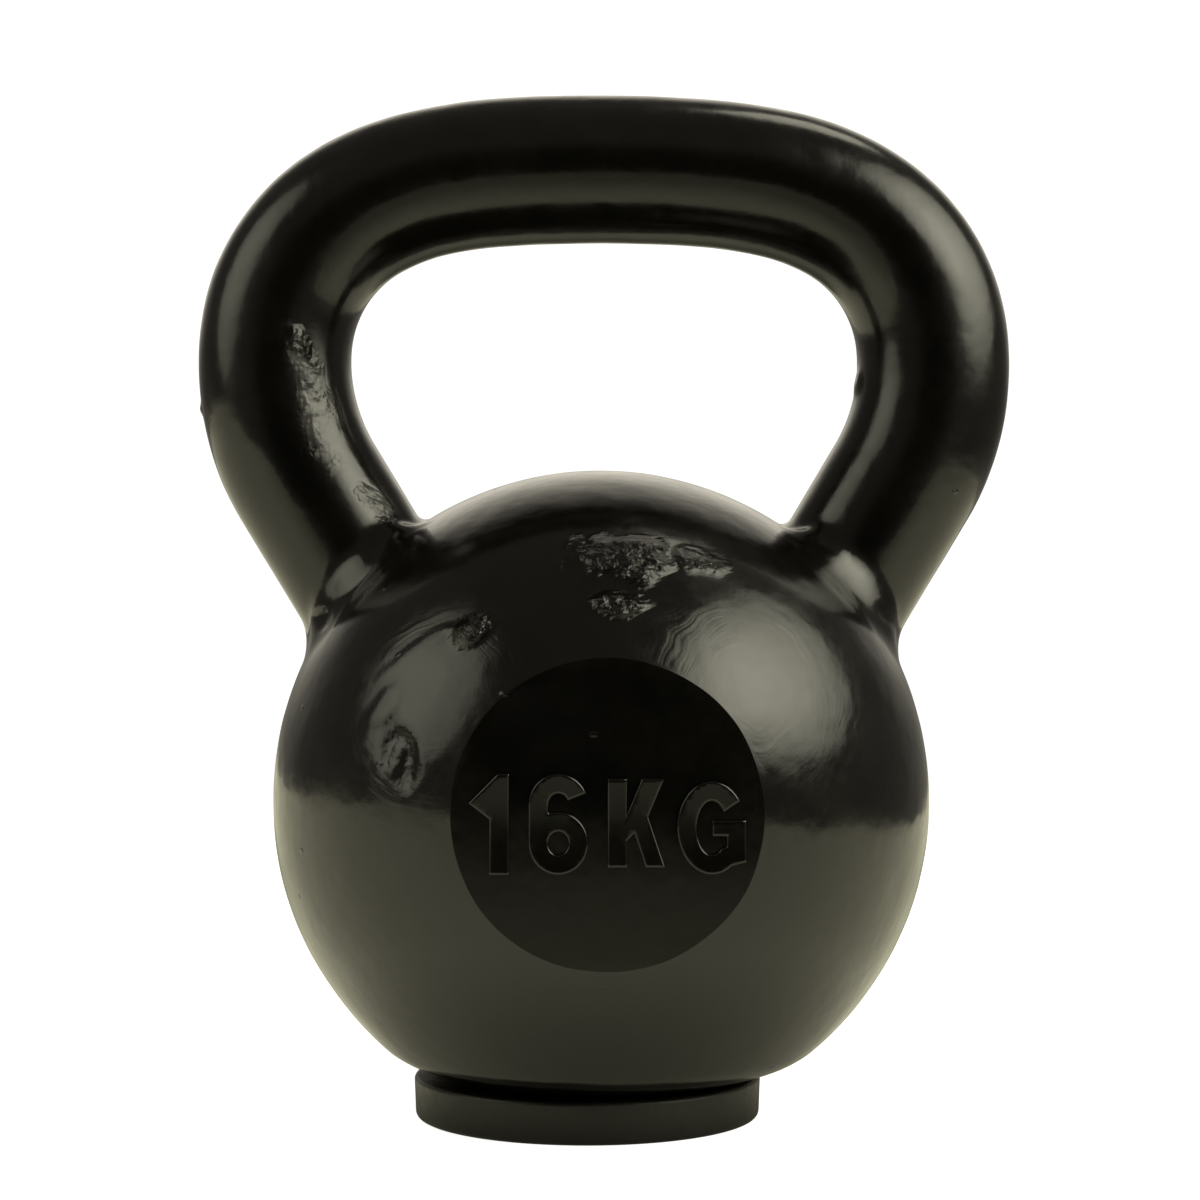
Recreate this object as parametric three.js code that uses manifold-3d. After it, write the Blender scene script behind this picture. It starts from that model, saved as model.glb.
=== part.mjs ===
// A 16 kg kettlebell: one iron casting (ball, handle, two round flats and a raised weight mark),
// a rubber foot under it, and the screw and washer that hold the foot.
// Millimetres, +Z up. The origin is on the floor under the ball's centre. X runs along the handle bar,
// and the marked flat faces -Y.
import * as THREE from "three";
import { mergeVertices } from "three/addons/utils/BufferGeometryUtils.js";
import Module from "manifold-3d";

const wasm = await Module();
wasm.setup();

// ---- driving dimensions -------------------------------------------------------------------------
const BALL_RADIUS = 77.6;
const FLAT_OFFSET = 70.2; // ball centre to each round flat, along Y
const FOOT_RADIUS = 41;
const FOOT_THICKNESS = 9.8;
const FOOT_SHIFT_X = -3.2; // the foot sits a little off the ball's axis, as its tapped hole does
const SEAT_GAP = 0.1; // between faces that rest on each other
const BALL_BASE_HEIGHT = FOOT_THICKNESS + SEAT_GAP; // the ball's underside above the floor
const BALL_BASE_DROP = 65.2; // the ball's underside below its centre
const BALL_HEIGHT = BALL_BASE_HEIGHT + BALL_BASE_DROP;

// The handle's centre line, from the middle of the bar outwards: arcs of a radius and a sweep in
// degrees, then a straight leg that runs into the ball.
const BAR_RISE = 150.2; // the middle of the bar above the ball's centre
const HANDLE_ARCS = [
  { radius: 326, sweep: 4.5 },
  { radius: 118, sweep: 7.8 },
  { radius: 59, sweep: 17 },
  { radius: 41, sweep: 56.8 },
  { radius: 57, sweep: 35 },
];
const LEG_LENGTH = 34;
const HANDLE_SHIFT_X = 1; // the handle's middle is this far off the ball's axis, as cast
const GRIP_RADIUS = 17.5; // at the middle of the bar
const LEG_RADIUS = 18.2; // where the legs come down
const SWELL_START = 40; // distance along the centre line where the bar starts to thicken
const SWELL_END = 105;
const ROOT_FILLET = 6;
const ROOT_SINK = 1.8; // the fillet runs this far into the ball, so the surfaces cross at a clear angle
const ROOT_ZONE = 32; // length of leg above its end that is drawn with finer rows

const MARK_STROKE = 4.2; // stroke width of the weight mark
const MARK_RELIEF = 1.4;
const MARK_BASELINE = -12.4; // the mark's baseline from the ball's centre

// M8 button head screw and its large washer
const SCREW_RADIUS = 4;
const SCREW_LENGTH = 18;
const HEAD_RADIUS = 7;
const HEAD_HEIGHT = 4.4;
const SOCKET_ACROSS_FLATS = 5;
const SOCKET_DEPTH = 2.6;
const WASHER_RADIUS = 10;
const WASHER_THICKNESS = 1.6;
const POCKET_RADIUS = 11; // the foot's recess for the washer and the head
const POCKET_DEPTH = 6.8;
const CLEARANCE = 0.3; // round a screw in its hole
const TAPPED_DEPTH = 20;

// Facets: fine enough for size and collision
const BALL_SEGMENTS = 64;
const BALL_RINGS = 26;
const TUBE_SIDES = 28;
const BAR_STEPS = 36; // rows of facets from root to root
const ROOT_STEPS = 16; // finer rows where each leg meets the ball
const RING_SEGMENTS = 48;
const SMALL_SEGMENTS = 32;

// ---- joining and cutting ------------------------------------------------------------------------
/** A three.js geometry as a manifold-3d solid. */
function solidOf(geometry) {
  const bare = geometry.index ? geometry.toNonIndexed() : geometry.clone();
  bare.deleteAttribute("normal");
  bare.deleteAttribute("uv");
  const merged = mergeVertices(bare, 1e-4);
  return new wasm.Manifold(
    new wasm.Mesh({
      numProp: 3,
      vertProperties: merged.attributes.position.array,
      triVerts: new Uint32Array(merged.index.array),
    }),
  );
}

/** A manifold-3d solid as a three.js geometry with flat normals. */
function geometryOf(solid) {
  const mesh = solid.getMesh();
  const geometry = new THREE.BufferGeometry();
  geometry.setAttribute("position", new THREE.BufferAttribute(mesh.vertProperties, 3));
  geometry.setIndex(new THREE.BufferAttribute(mesh.triVerts, 1));
  const faceted = geometry.toNonIndexed();
  faceted.computeVertexNormals();
  return faceted;
}

/** A solid of revolution about Z from [radius, height] pairs that run anticlockwise. */
function turned(profile, segments) {
  const points = profile.map(([radius, height]) => new THREE.Vector2(radius, height));
  return new THREE.LatheGeometry(points, segments).rotateX(Math.PI / 2);
}

/** A cylinder standing on a height, along Z. */
function uprightCylinder(radius, bottom, height, segments) {
  return new THREE.CylinderGeometry(radius, radius, height, segments)
    .rotateX(Math.PI / 2)
    .translate(0, 0, bottom + height / 2);
}

// ---- the ball -----------------------------------------------------------------------------------
/** The ball about its own centre, with its flat underside. */
function ball() {
  const baseRadius = Math.sqrt(BALL_RADIUS ** 2 - BALL_BASE_DROP ** 2);
  const lowest = -Math.acos(baseRadius / BALL_RADIUS);
  const profile = [[0, -BALL_BASE_DROP]];
  for (let i = 0; i < BALL_RINGS; i++) {
    const angle = lowest + ((Math.PI / 2 - lowest) * i) / BALL_RINGS;
    profile.push([BALL_RADIUS * Math.cos(angle), BALL_RADIUS * Math.sin(angle)]);
  }
  profile.push([0, BALL_RADIUS]);
  return solidOf(turned(profile, BALL_SEGMENTS));
}

/** The block that a round flat is cut away with; side is -1 at the front and 1 at the back. */
function flatCutter(side) {
  const size = 2 * BALL_RADIUS;
  const block = new THREE.BoxGeometry(size, size, size);
  return solidOf(block.translate(0, side * (FLAT_OFFSET + size / 2), 0));
}

// ---- the handle ---------------------------------------------------------------------------------
/** The point and heading of the handle's right half at a distance along its centre line. */
function handleAt(distance) {
  let point = new THREE.Vector2(0, BAR_RISE);
  let heading = 0; // clockwise from +X, in radians
  let left = distance;
  for (const { radius, sweep } of HANDLE_ARCS) {
    const whole = radius * THREE.MathUtils.degToRad(sweep);
    const turn = Math.min(left, whole) / radius;
    const centre = new THREE.Vector2(
      point.x - radius * Math.sin(heading),
      point.y - radius * Math.cos(heading),
    );
    heading += turn;
    point = new THREE.Vector2(
      centre.x + radius * Math.sin(heading),
      centre.y + radius * Math.cos(heading),
    );
    left -= turn * radius;
  }
  point.x += left * Math.cos(heading);
  point.y -= left * Math.sin(heading);
  return { point, heading };
}

/** Length of the right half of the centre line, from the middle of the bar to the end of the leg. */
function halfLength() {
  const arcs = HANDLE_ARCS.map(({ radius, sweep }) => radius * THREE.MathUtils.degToRad(sweep));
  return arcs.reduce((sum, length) => sum + length, LEG_LENGTH);
}

/** How far the root's fillet pushes a handle surface point outwards at a height off the ball. */
function filletPush(offBall) {
  const height = Math.max(offBall + ROOT_SINK, 0);
  if (height >= ROOT_FILLET) return 0;
  const reach = ROOT_FILLET - height;
  return ROOT_FILLET - Math.sqrt(ROOT_FILLET ** 2 - reach ** 2);
}

/** Distance along the centre line of a row of facets, counted outwards from the middle of the bar. */
function rowDistance(row) {
  const start = halfLength() - ROOT_ZONE;
  const barRows = BAR_STEPS / 2;
  if (row <= barRows) return (start * row) / barRows;
  return start + (ROOT_ZONE * (row - barRows)) / ROOT_STEPS;
}

/** The whole handle: a cylinder bent along the centre line, flared where it meets the ball. */
function handle() {
  const rows = BAR_STEPS + 2 * ROOT_STEPS;
  const tube = new THREE.CylinderGeometry(1, 1, rows, TUBE_SIDES, rows);
  const vertices = tube.attributes.position;
  for (let i = 0; i < vertices.count; i++) {
    const row = vertices.getY(i);
    const along = Math.sign(row) * rowDistance(Math.abs(row));
    const { point, heading } = handleAt(Math.abs(along));
    const side = Math.sign(along) || 1;
    const out = new THREE.Vector3(side * Math.sin(heading), 0, Math.cos(heading));
    const across = new THREE.Vector3(0, 1, 0);
    const spoke = out.multiplyScalar(vertices.getX(i)).addScaledVector(across, vertices.getZ(i));
    const swell = THREE.MathUtils.smoothstep(Math.abs(along), SWELL_START, SWELL_END);
    const radius = THREE.MathUtils.lerp(GRIP_RADIUS, LEG_RADIUS, swell);
    const middle = new THREE.Vector3(HANDLE_SHIFT_X + side * point.x, 0, point.y);
    const surface = middle.clone().addScaledVector(spoke, radius);
    surface.addScaledVector(spoke, filletPush(surface.length() - BALL_RADIUS));
    vertices.setXYZ(i, surface.x, surface.y, surface.z);
  }
  return solidOf(tube);
}

// ---- the weight mark ----------------------------------------------------------------------------
/** An ellipse ring's outline: the outer edge, with the bowl inside it as a hole. */
function ringGlyph(centreX, centreY, radiusX, radiusY, stroke) {
  const outline = new THREE.Shape();
  outline.absellipse(centreX, centreY, radiusX, radiusY, 0, 2 * Math.PI);
  const bowl = new THREE.Path();
  bowl.absellipse(centreX, centreY, radiusX - stroke, radiusY - stroke, 0, 2 * Math.PI, true);
  outline.holes.push(bowl);
  return outline;
}

/** A closed shape through corner points. */
function cornerGlyph(corners) {
  return new THREE.Shape(corners.map(([x, y]) => new THREE.Vector2(x, y)));
}

/** Part of an elliptical ring, between two angles in degrees anticlockwise from +X. */
function arcGlyph(centreX, centreY, radiusX, radiusY, stroke, from, to) {
  const outline = new THREE.Shape();
  const start = THREE.MathUtils.degToRad(from);
  const end = THREE.MathUtils.degToRad(to);
  outline.absellipse(centreX, centreY, radiusX, radiusY, start, end);
  outline.absellipse(centreX, centreY, radiusX - stroke, radiusY - stroke, end, start, true);
  return outline;
}

/** The four characters: own width, gap to the next, lift off the baseline and overlapping strokes. */
function glyphs() {
  const bold = MARK_STROKE;
  const one = {
    width: 8.6,
    gap: 4,
    lift: 0,
    strokes: [
      cornerGlyph([[8.6 - bold, 0], [8.6, 0], [8.6, 21.2], [8.6 - bold, 21.2]]),
      cornerGlyph([[0, 15], [4.6, 11.4], [8.4, 16], [8.4, 21.2], [6.2, 21.2]]),
    ],
  };
  const six = {
    width: 12.6,
    gap: 4,
    lift: 0,
    strokes: [
      ringGlyph(6.3, 6.6, 6.3, 6.6, bold),
      cornerGlyph([[0, 6.6], [bold, 6.6], [bold, 14.7], [0, 14.7]]),
      arcGlyph(6.3, 14.6, 6.3, 6.6, bold, 22, 180),
    ],
  };
  const kay = {
    width: 12.2,
    gap: 2.4,
    lift: 1.5,
    strokes: [
      cornerGlyph([[0, 0], [bold, 0], [bold, 18.6], [0, 18.6]]),
      cornerGlyph([[bold - 0.5, 5.4], [bold + 2.6, 8.2], [12, 18.6], [7.2, 18.6], [bold - 0.5, 10.4]]),
      cornerGlyph([[4.4, 9.4], [8, 0], [12.2, 0], [7.2, 12.2]]),
    ],
  };
  const gee = {
    width: 14.6,
    gap: 0,
    lift: 0,
    strokes: [
      arcGlyph(7.3, 9.8, 7.3, 9.8, bold, 35, 318),
      cornerGlyph([[7.4, 8], [14.6, 8], [14.6, 11.4], [7.4, 11.4]]),
      cornerGlyph([[14.6 - bold, 1.4], [14.6, 2.6], [14.6, 9], [14.6 - bold, 9]]),
    ],
  };
  return [one, six, kay, gee];
}

/** The raised mark as one solid on the front flat, sunk a little into it. */
function weightMark() {
  const characters = glyphs();
  const total = characters.reduce((sum, { width, gap }) => sum + width + gap, 0);
  const sunk = 1;
  let left = -total / 2;
  const solids = [];
  for (const { width, gap, lift, strokes } of characters) {
    for (const shape of strokes) {
      const extrusion = new THREE.ExtrudeGeometry(shape, {
        depth: MARK_RELIEF + sunk,
        bevelEnabled: false,
        curveSegments: 8,
      });
      extrusion.translate(left, MARK_BASELINE + lift, FLAT_OFFSET - sunk);
      solids.push(solidOf(extrusion.rotateX(Math.PI / 2)));
    }
    left += width + gap;
  }
  return solids.reduce((all, stroke) => all.add(stroke));
}

// ---- the casting --------------------------------------------------------------------------------
/** The blind tapped hole in the ball's underside, with a drill point. */
function tappedHole() {
  const radius = SCREW_RADIUS + CLEARANCE;
  const bottom = -BALL_BASE_DROP;
  const profile = [
    [0, bottom - 1],
    [radius, bottom - 1],
    [radius, bottom + TAPPED_DEPTH],
    [0, bottom + TAPPED_DEPTH + radius * 0.6],
  ];
  return solidOf(turned(profile, SMALL_SEGMENTS).translate(FOOT_SHIFT_X, 0, 0));
}

/** Ball, handle and weight mark, cast in one piece. */
function ironCasting() {
  const body = ball().add(handle()).subtract(flatCutter(-1)).subtract(flatCutter(1));
  return geometryOf(body.add(weightMark()).subtract(tappedHole())).translate(0, 0, BALL_HEIGHT);
}

// ---- the foot and its fixing --------------------------------------------------------------------
/** The round rubber foot, slightly tapered, with a pocket for the screw head from below. */
function rubberFoot() {
  const edge = 1.4; // rounding of the lower outer edge
  const taper = 0.4;
  const lip = 0.5;
  const hole = SCREW_RADIUS + CLEARANCE;
  const rounding = [15, 30, 45, 60, 75].map((degrees) => {
    const angle = THREE.MathUtils.degToRad(degrees);
    const centre = FOOT_RADIUS - taper - edge;
    return [centre + edge * Math.sin(angle), edge - edge * Math.cos(angle)];
  });
  const profile = [
    [hole, POCKET_DEPTH],
    [POCKET_RADIUS, POCKET_DEPTH],
    [POCKET_RADIUS, 0],
    [FOOT_RADIUS - taper - edge, 0],
    ...rounding,
    [FOOT_RADIUS - taper, edge],
    [FOOT_RADIUS, FOOT_THICKNESS - lip],
    [FOOT_RADIUS - lip, FOOT_THICKNESS],
    [hole, FOOT_THICKNESS],
    [hole, POCKET_DEPTH],
  ];
  return turned(profile, RING_SEGMENTS);
}

/** The large washer that spreads the screw's load on the rubber. */
function footWasher() {
  const top = POCKET_DEPTH - SEAT_GAP;
  const bottom = top - WASHER_THICKNESS;
  const hole = SCREW_RADIUS + CLEARANCE;
  const profile = [
    [hole, bottom],
    [WASHER_RADIUS, bottom],
    [WASHER_RADIUS, top],
    [hole, top],
    [hole, bottom],
  ];
  return turned(profile, SMALL_SEGMENTS);
}

/** The button head screw, head down, with its hexagon socket. */
function footScrew() {
  const seat = POCKET_DEPTH - WASHER_THICKNESS - 2 * SEAT_GAP;
  const bottom = seat - HEAD_HEIGHT;
  const crown = HEAD_RADIUS * 0.55; // flat middle of the domed head
  const profile = [
    [0, bottom],
    [crown, bottom],
    [HEAD_RADIUS * 0.8, bottom + HEAD_HEIGHT * 0.22],
    [HEAD_RADIUS * 0.95, bottom + HEAD_HEIGHT * 0.55],
    [HEAD_RADIUS, seat],
    [SCREW_RADIUS, seat],
    [SCREW_RADIUS, seat + SCREW_LENGTH - 1],
    [SCREW_RADIUS - 1, seat + SCREW_LENGTH],
    [0, seat + SCREW_LENGTH],
  ];
  const across = SOCKET_ACROSS_FLATS / Math.sqrt(3); // radius over the hexagon's corners
  const socket = uprightCylinder(across, bottom - 1, SOCKET_DEPTH + 1, 6);
  return geometryOf(solidOf(turned(profile, SMALL_SEGMENTS)).subtract(solidOf(socket)));
}

// ---- the assembly -------------------------------------------------------------------------------
/** A named mesh with its own material. */
function piece(name, geometry, color, roughness, metalness) {
  const material = new THREE.MeshStandardMaterial({ color, roughness, metalness });
  const mesh = new THREE.Mesh(geometry, material);
  mesh.name = name;
  return mesh;
}

const kettlebell = new THREE.Group();
kettlebell.add(piece("iron_casting", ironCasting(), 0x12110f, 0.2, 0));

const footGroup = new THREE.Group();
footGroup.position.x = FOOT_SHIFT_X;
footGroup.add(piece("rubber_foot", rubberFoot(), 0x1d1c19, 0.7, 0));
footGroup.add(piece("foot_washer", footWasher(), 0xb4b6b8, 0.35, 1));
footGroup.add(piece("foot_screw", footScrew(), 0x8f9296, 0.3, 1));
kettlebell.add(footGroup);

export default kettlebell;
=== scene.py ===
"""Visual model of a 16 kg cast iron kettlebell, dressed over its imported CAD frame.

Sizes are written in millimetres in the classes below and turned into metres when a mesh is made.
Finishes and the studio are in metres, but for the camera, whose place is in millimetres too. X runs
along the handle's bar, the marked flat faces -Y, and +Z is up from the floor.
"""

from __future__ import annotations

import logging
import math
from contextlib import contextmanager
from dataclasses import dataclass, field
from enum import Enum
from typing import Callable, Iterable, Iterator, Sequence

import bmesh
import bpy
import numpy as np
from mathutils import Matrix, Vector, noise

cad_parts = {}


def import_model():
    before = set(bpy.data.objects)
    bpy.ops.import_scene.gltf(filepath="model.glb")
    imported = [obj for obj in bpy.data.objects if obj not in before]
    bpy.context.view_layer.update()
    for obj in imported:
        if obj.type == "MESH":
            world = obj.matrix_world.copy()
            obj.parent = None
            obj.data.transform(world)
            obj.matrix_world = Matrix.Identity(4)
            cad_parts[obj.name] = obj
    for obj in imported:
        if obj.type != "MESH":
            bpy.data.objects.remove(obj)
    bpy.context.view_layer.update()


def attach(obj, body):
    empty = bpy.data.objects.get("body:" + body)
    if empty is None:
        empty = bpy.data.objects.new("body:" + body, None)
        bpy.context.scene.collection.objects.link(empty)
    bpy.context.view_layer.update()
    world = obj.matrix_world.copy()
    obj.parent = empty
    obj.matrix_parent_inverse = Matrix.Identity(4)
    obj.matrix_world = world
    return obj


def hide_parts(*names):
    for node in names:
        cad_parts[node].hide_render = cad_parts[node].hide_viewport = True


LOG = logging.getLogger("kettlebell")
MM = 0.001
BODY = "root"
MERGE_DISTANCE = 1e-6
CUT_TOLERANCE = 1e-7
OVAL_GAP = 0.01
MIX_LOW, MIX_HIGH, MIX_RESULT = 6, 7, 2  # the Mix node's colour sockets

# sizes in millimetres that more than one piece is built to
BALL_HEIGHT = 75.1  # from the floor to the ball's centre
FLAT_DISTANCE = 70.2  # from the ball's centre to each flat
FOOT_X = -3.2  # place of the foot's axis along X
SCREW_HOLE = 4.3  # radius of the holes round the screw

BMesh = bmesh.types.BMesh
Socket = bpy.types.NodeSocket
Place = tuple[float, float, float]
Colour = tuple[float, float, float, float]
Span = tuple[float, float]
Outline = list[tuple[float, float]]


class Slot(Enum):
    """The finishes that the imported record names."""

    CASTING = "gloss_black_casting"
    RUBBER = "black_rubber"
    WASHER = "zinc_plated_washer"
    SCREW = "zinc_plated_screw"


class FlatSide(Enum):
    """The two round flats, by the direction along Y that they face."""

    FRONT = -1
    BACK = 1


# ---- small helpers ------------------------------------------------------------------------------
def smoothstep(low: float, high: float, values: np.ndarray) -> np.ndarray:
    """Eases values from 0 at low to 1 at high.

    Args:
        low: Value that gives 0.
        high: Value that gives 1.
        values: Numbers to ease.

    Returns:
        The eased numbers, each between 0 and 1.
    """
    t = np.clip((values - low) / (high - low), 0.0, 1.0)
    return t * t * (3.0 - 2.0 * t)


def lumps(points: np.ndarray, length: float) -> np.ndarray:
    """Reads smooth noise at points.

    Args:
        points: One row per point.
        length: Size of a lump, in the points' own unit.

    Returns:
        One number per point, from about -1 to 1.
    """
    return np.array([noise.noise(Vector(p) / length) for p in points])


@contextmanager
def editing(mesh: bpy.types.Mesh) -> Iterator[BMesh]:
    """Opens a mesh as a bmesh and writes it back afterwards.

    Args:
        mesh: The mesh to change.

    Yields:
        Its bmesh.
    """
    bm = bmesh.new()
    bm.from_mesh(mesh)
    yield bm
    bm.to_mesh(mesh)
    bm.free()


def make_object(name: str, bm: BMesh, angle: float | None = None) -> bpy.types.Object:
    """Turns a finished bmesh into an object of the scene, with its normals recalculated.

    Args:
        name: Name of the object and its mesh.
        bm: The shape in metres; it is freed.
        angle: Edges up to this many degrees are smoothed, where it is given.

    Returns:
        The new object, at the origin.
    """
    bmesh.ops.recalc_face_normals(bm, faces=bm.faces)
    mesh = bpy.data.meshes.new(name)
    bm.to_mesh(mesh)
    bm.free()
    if angle is not None:
        shade_by_angle(mesh, angle)
    made = bpy.data.objects.new(name, mesh)
    bpy.context.scene.collection.objects.link(made)
    return made


def shade_by_angle(mesh: bpy.types.Mesh, angle: float) -> None:
    """Smooths a mesh except across edges sharper than an angle in degrees."""
    with editing(mesh) as bm:
        for face in bm.faces:
            face.smooth = True
        for edge in bm.edges:
            if len(edge.link_faces) == 2:
                edge.smooth = edge.calc_face_angle(0.0) < math.radians(angle)


def everything(bm: BMesh) -> list:
    """All vertices, edges and faces of a bmesh."""
    return bm.verts[:] + bm.edges[:] + bm.faces[:]


def edge_loop(bm: BMesh, points: Iterable[Vector], closed: bool = True) -> list:
    """Adds a chain of vertices and edges.

    Args:
        bm: The bmesh to add to.
        points: Corners in order, in metres.
        closed: Whether the last corner joins the first.

    Returns:
        The new edges.
    """
    verts = [bm.verts.new(point) for point in points]
    pairs = list(zip(verts, verts[1:]))
    if closed:
        pairs.append((verts[-1], verts[0]))
    return [bm.edges.new(pair) for pair in pairs]


def add_circle(
    bm: BMesh, sides: int, radius: float, matrix: Matrix, capped: bool = False
) -> tuple[list, list]:
    """Adds a circle.

    Args:
        bm: The bmesh to add to.
        sides: Number of its edges.
        radius: Its radius in metres.
        matrix: Its place.
        capped: Whether a face closes it.

    Returns:
        Its vertices and its edges, in order.
    """
    verts = bmesh.ops.create_circle(
        bm, cap_ends=capped, segments=sides, radius=radius, matrix=matrix
    )["verts"]
    return verts, [bm.edges.get(pair) for pair in zip(verts, verts[1:] + verts[:1])]


def extrude_ring(bm: BMesh, edges: list) -> tuple[list, list]:
    """Extrudes a ring of edges and returns the new vertices and edges."""
    grown = bmesh.ops.extrude_edge_only(bm, edges=edges)["geom"]
    verts = [g for g in grown if isinstance(g, bmesh.types.BMVert)]
    return verts, [g for g in grown if isinstance(g, bmesh.types.BMEdge)]


def sink_hole(bm: BMesh, mouth: list, axis_x: float, steps: Sequence[Span]) -> None:
    """Draws a hole up into a piece from the edges round its mouth, and closes its end.

    Args:
        bm: The piece.
        mouth: The edges round the mouth.
        axis_x: Place of the hole's axis along X, in millimetres.
        steps: Depth in millimetres, and scale across, of each stretch.
    """
    about = Matrix.Translation((-axis_x * MM, 0.0, 0.0))
    for depth, scale in steps:
        verts, mouth = extrude_ring(bm, mouth)
        bmesh.ops.translate(bm, vec=(0.0, 0.0, depth * MM), verts=verts)
        bmesh.ops.scale(bm, vec=(scale, scale, 1.0), space=about, verts=verts)
    bmesh.ops.contextual_create(bm, geom=mouth)


def turn_profile(bm: BMesh, profile: Sequence[Span], axis_x: float, steps: int) -> None:
    """Spins a profile all the way round an upright axis.

    Args:
        bm: The bmesh to add to.
        profile: Radius and height pairs in millimetres; both ends lie on the axis or meet.
        axis_x: Place of the axis along X, in millimetres.
        steps: Facets round the turn.
    """
    closed = profile[0] == profile[-1]
    points = profile[:-1] if closed else profile
    corners = [Vector(((axis_x + r) * MM, 0.0, z * MM)) for r, z in points]
    edges = edge_loop(bm, corners, closed)
    bmesh.ops.spin(
        bm,
        geom=bm.verts[:] + edges,
        cent=(axis_x * MM, 0.0, 0.0),
        axis=(0.0, 0.0, 1.0),
        angle=2.0 * math.pi,
        steps=steps,
        use_merge=True,
    )
    bmesh.ops.remove_doubles(bm, verts=bm.verts, dist=MERGE_DISTANCE)


def rounded(corners: Sequence[Place], steps: int = 5) -> Outline:
    """Rounds the corners of an open outline.

    Args:
        corners: x, y and corner radius of each point.
        steps: Segments on each rounded corner.

    Returns:
        The outline's points, with an arc at each corner whose radius isn't 0.
    """
    points: Outline = []
    for i, (x, y, radius) in enumerate(corners):
        if radius == 0.0 or i in (0, len(corners) - 1):
            points.append((x, y))
            continue
        here = Vector((x, y))
        before = (Vector(corners[i - 1][:2]) - here).normalized()
        after = (Vector(corners[i + 1][:2]) - here).normalized()
        half = before.angle(after) / 2.0
        centre = here + (before + after).normalized() * radius / math.sin(half)
        start = here + before * radius / math.tan(half) - centre
        end = here + after * radius / math.tan(half) - centre
        for k in range(steps + 1):
            spoke = start.slerp(end, k / steps)
            points.append(tuple(centre + spoke.normalized() * radius))
    return points


# ---- finishes -----------------------------------------------------------------------------------
class NodeSheet:
    """A short way to write a node tree."""

    def __init__(self, tree: bpy.types.NodeTree) -> None:
        """Starts with an empty tree.

        Args:
            tree: The node tree to fill; its nodes are removed.
        """
        self.tree = tree
        tree.nodes.clear()

    def node(self, kind: str, settings: dict | None = None, **inputs: object) -> bpy.types.Node:
        """Adds a node.

        Args:
            kind: Type of node, without the "ShaderNode" in front.
            settings: Properties of the node.
            **inputs: Sockets by name, underscores for spaces: a value, or a socket to link from.

        Returns:
            The new node.
        """
        made = self.tree.nodes.new("ShaderNode" + kind)
        for key, value in (settings or {}).items():
            setattr(made, key, value)
        for key, value in inputs.items():
            self.feed(made, key.replace("_", " "), value)
        return made

    def feed(self, node: bpy.types.Node, name: str | int, value: object) -> None:
        """Sets or links one input of a node.

        Args:
            node: The node that is fed.
            name: Name or number of its input.
            value: A number or colour, or an output socket.
        """
        if isinstance(value, Socket):
            self.tree.links.new(value, node.inputs[name])
        else:
            node.inputs[name].default_value = value

    def maths(self, operation: str, first: object, *others: object) -> Socket:
        """Chains Math nodes over values or sockets and returns the last output."""
        for other in others:
            made = self.node("Math", {"operation": operation})
            self.feed(made, 0, first)
            self.feed(made, 1, other)
            first = made.outputs[0]
        return first

    def span(self, value: object, low: float, high: float, to_low: float, to_high: float) -> Socket:
        """Maps low..high to to_low..to_high with eased ends.

        Args:
            value: A value or socket.
            low: Input that gives to_low.
            high: Input that gives to_high.
            to_low: Output at low.
            to_high: Output at high.

        Returns:
            The output socket.
        """
        made = self.node("MapRange", {"interpolation_type": "SMOOTHSTEP"}, Value=value)
        limits = {"From Min": low, "From Max": high, "To Min": to_low, "To Max": to_high}
        for name, number in limits.items():
            self.feed(made, name, number)
        return made.outputs["Result"]

    def noise(self, vector: object, scale: object, detail: float = 2.0) -> Socket:
        """Adds a Noise Texture and returns its factor.

        Args:
            vector: Coordinates socket.
            scale: Repeats per metre, a value or socket.
            detail: Octaves.

        Returns:
            The factor socket.
        """
        return self.node("TexNoise", Vector=vector, Scale=scale, Detail=detail).outputs["Fac"]

    def distance(self, place: Socket, centre: Place) -> Socket:
        """Measures how far a place is from a fixed point."""
        made = self.node("VectorMath", {"operation": "DISTANCE"})
        self.feed(made, 0, place)
        self.feed(made, 1, centre)
        return made.outputs["Value"]

    def attribute(self, name: str) -> Socket:
        """Reads one of the mesh's own values."""
        return self.node("Attribute", {"attribute_name": name}).outputs["Fac"]

    def blend(self, factor: Socket, low: Colour, high: Colour) -> Socket:
        """Mixes two colours."""
        made = self.node("Mix", {"data_type": "RGBA"})
        for name, value in (("Factor", factor), (MIX_LOW, low), (MIX_HIGH, high)):
            self.feed(made, name, value)
        return made.outputs[MIX_RESULT]

    def choose(self, factor: Socket, low: Socket, high: Socket) -> Socket:
        """Mixes two shaders."""
        made = self.node("MixShader")
        for number, value in enumerate((factor, low, high)):
            self.feed(made, number, value)
        return made.outputs[0]


def node_group(
    name: str,
    inputs: dict[str, float | None],
    output: str,
    fill: Callable[[NodeSheet, bpy.types.Node], Socket],
) -> bpy.types.NodeTree:
    """Makes a shader node group with named sockets, once.

    Args:
        name: Name of the group.
        inputs: Name to default of each number; None for a vector.
        output: Name of the number that it gives.
        fill: Draws the inside, given the sheet and the group's input node; it returns the output.

    Returns:
        The group.
    """
    if name in bpy.data.node_groups:
        return bpy.data.node_groups[name]
    tree = bpy.data.node_groups.new(name, "ShaderNodeTree")
    sheet = NodeSheet(tree)
    for key, default in inputs.items():
        kind = "NodeSocketVector" if default is None else "NodeSocketFloat"
        socket = tree.interface.new_socket(key, in_out="INPUT", socket_type=kind)
        if default is not None:
            socket.default_value = default
    tree.interface.new_socket(output, in_out="OUTPUT", socket_type="NodeSocketFloat")
    entry = tree.nodes.new("NodeGroupInput")
    leave = tree.nodes.new("NodeGroupOutput")
    sheet.feed(leave, output, fill(sheet, entry))
    return tree


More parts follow.
